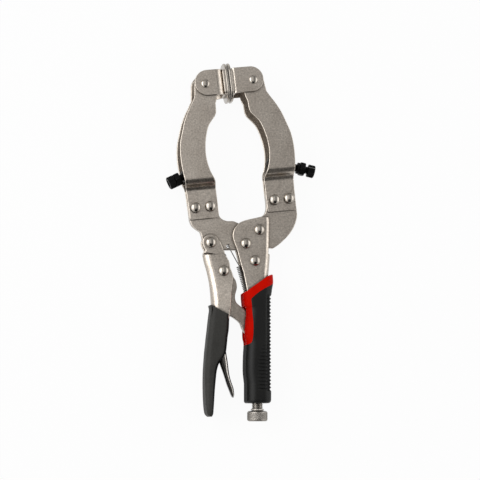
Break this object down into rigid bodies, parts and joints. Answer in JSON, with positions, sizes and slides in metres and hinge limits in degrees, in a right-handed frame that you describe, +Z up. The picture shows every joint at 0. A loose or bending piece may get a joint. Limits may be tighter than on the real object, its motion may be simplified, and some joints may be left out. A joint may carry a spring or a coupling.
{
  "type": "locking welding clamp",
  "caption": "Locking clamp with two deep jaw arms, swivel pads, side stop screws, toggle handle, release lever and adjusting screw.",
  "frame": {"origin": "middle of the bounding box, on the bench that the clamp lies on", "axes": "+X across the tool towards the fixed handle, +Y from the adjusting knob towards the pads, +Z up through the tool's thickness"},
  "size_m": [0.1191, 0.2808, 0.0264],
  "materials": {
    "satin_nickel": "satin nickel plate over steel, fine tumbled grain",
    "bright_nickel": "brighter nickel plate on rivets, pads, lever and knob",
    "plain_steel": "plain bright steel",
    "black_oxide": "black oxide on steel",
    "red_rubber": "matt red moulded rubber",
    "black_rubber": "matt black moulded rubber, ribbed",
    "dipped_grip": "charcoal dipped vinyl, satin"
  },
  "bodies": {
    "fixed_handle": {"fixed_handle_shell": "satin_nickel", "fixed_jaw_plate": "satin_nickel", "fixed_jaw_rivet_upper": "bright_nickel", "fixed_jaw_rivet_lower": "bright_nickel", "main_pivot_rivet": "bright_nickel", "right_arm_front_plate": "satin_nickel", "right_arm_rear_plate": "satin_nickel", "right_arm_rivet_inner": "bright_nickel", "right_arm_rivet_outer": "bright_nickel", "right_threaded_block": "black_oxide", "right_pad_rivet": "bright_nickel", "right_pad_spacer": "plain_steel", "fixed_grip": "black_rubber", "grip_accent": "red_rubber", "adjuster_nut": "plain_steel", "spring_anchor_pin": "plain_steel", "tension_spring": "plain_steel"},
    "moving_jaw": {"moving_jaw_plate": "satin_nickel", "left_arm_front_plate": "satin_nickel", "left_arm_rear_plate": "satin_nickel", "left_arm_rivet_inner": "bright_nickel", "left_arm_rivet_outer": "bright_nickel", "left_threaded_block": "black_oxide", "left_pad_rivet": "bright_nickel", "left_pad_spacer": "plain_steel", "handle_pivot_rivet": "bright_nickel"},
    "moving_handle": {"moving_handle_shell": "satin_nickel", "moving_grip": "dipped_grip", "link_rivet": "bright_nickel", "lever_pin": "plain_steel"},
    "link": {"toggle_link": "satin_nickel"},
    "lever": {"release_lever": "bright_nickel"},
    "collar": {"screw_collar": "plain_steel"},
    "adjuster": {"adjusting_screw": "plain_steel", "adjusting_knob": "bright_nickel"},
    "left_pad": {"left_pad_bracket": "satin_nickel", "left_pad_face": "bright_nickel"},
    "right_pad": {"right_pad_bracket": "satin_nickel", "right_pad_face": "bright_nickel"},
    "left_nut": {"left_jam_nut": "black_oxide"},
    "left_screw": {"left_side_screw": "black_oxide"},
    "right_nut": {"right_jam_nut": "black_oxide", "right_washer": "black_oxide"},
    "right_screw": {"right_side_screw": "black_oxide"}
  },
  "joints": [
    {"name": "jaw_pivot", "type": "hinge", "parent": "fixed_handle", "child": "moving_jaw", "pos_m": [0.00297, -0.00244, 0.0132], "axis": [0, 0, 1], "range_deg": [0, 18], "deforming": ["tension_spring"]},
    {"name": "handle_pivot", "type": "hinge", "parent": "moving_jaw", "child": "moving_handle", "pos_m": [-0.02478, -0.00221, 0.0132], "axis": [0, 0, 1], "range_deg": [-55.8, 0]},
    {"name": "link_pivot", "type": "hinge", "parent": "moving_handle", "child": "link", "pos_m": [-0.01452, -0.02424, 0.0132], "axis": [0, 0, 1], "range_deg": [0, 55.8]},
    {"name": "left_pad_swivel", "type": "hinge", "parent": "moving_jaw", "child": "left_pad", "pos_m": [-0.03032, 0.12183, 0.0132], "axis": [0, 0, 1], "range_deg": [-9, 0]},
    {"name": "right_pad_swivel", "type": "hinge", "parent": "fixed_handle", "child": "right_pad", "pos_m": [0.00779, 0.12651, 0.0132], "axis": [0, 0, 1], "range_deg": [0, 9]},
    {"name": "release_lever_pivot", "type": "hinge", "parent": "moving_handle", "child": "lever", "pos_m": [-0.01654, -0.06639, 0.0132], "axis": [0, 0, 1], "range_deg": [-10, 0]},
    {"name": "adjuster_slide", "type": "slide", "parent": "fixed_handle", "child": "collar", "axis": [0, 1, 0], "range_m": [-0.018, 0]},
    {"name": "adjuster_turn", "type": "hinge", "parent": "collar", "child": "adjuster", "pos_m": [0.01277, -0.11, 0.0132], "axis": [0, 1, 0], "range_deg": [-5185, 1]},
    {"name": "left_nut_slide", "type": "slide", "parent": "moving_jaw", "child": "left_nut", "axis": [-0.8988, -0.4384, 0], "range_m": [-0.0011, 0.006]},
    {"name": "left_screw_turn", "type": "hinge", "parent": "left_nut", "child": "left_screw", "pos_m": [-0.04732, 0.04861, 0.0132], "axis": [-0.8988, -0.4384, 0], "range_deg": [-397, 2161]},
    {"name": "right_nut_slide", "type": "slide", "parent": "fixed_handle", "child": "right_nut", "axis": [0.9781, -0.2079, 0], "range_m": [-0.0023, 0.004]},
    {"name": "right_screw_turn", "type": "hinge", "parent": "right_nut", "child": "right_screw", "pos_m": [0.042, 0.05958, 0.0132], "axis": [0.9781, -0.2079, 0], "range_deg": [-829, 1441]}
  ],
  "couplings": [
    {"joint": "handle_pivot", "follows": "jaw_pivot", "ratio": -3.1},
    {"joint": "link_pivot", "follows": "jaw_pivot", "ratio": 3.1},
    {"joint": "left_pad_swivel", "follows": "jaw_pivot", "ratio": -0.5},
    {"joint": "right_pad_swivel", "follows": "jaw_pivot", "ratio": 0.5},
    {"joint": "adjuster_turn", "follows": "adjuster_slide", "rad_per_m": 5026.5},
    {"joint": "left_screw_turn", "follows": "left_nut_slide", "rad_per_m": 6283.2},
    {"joint": "right_screw_turn", "follows": "right_nut_slide", "rad_per_m": 6283.2}
  ]
}
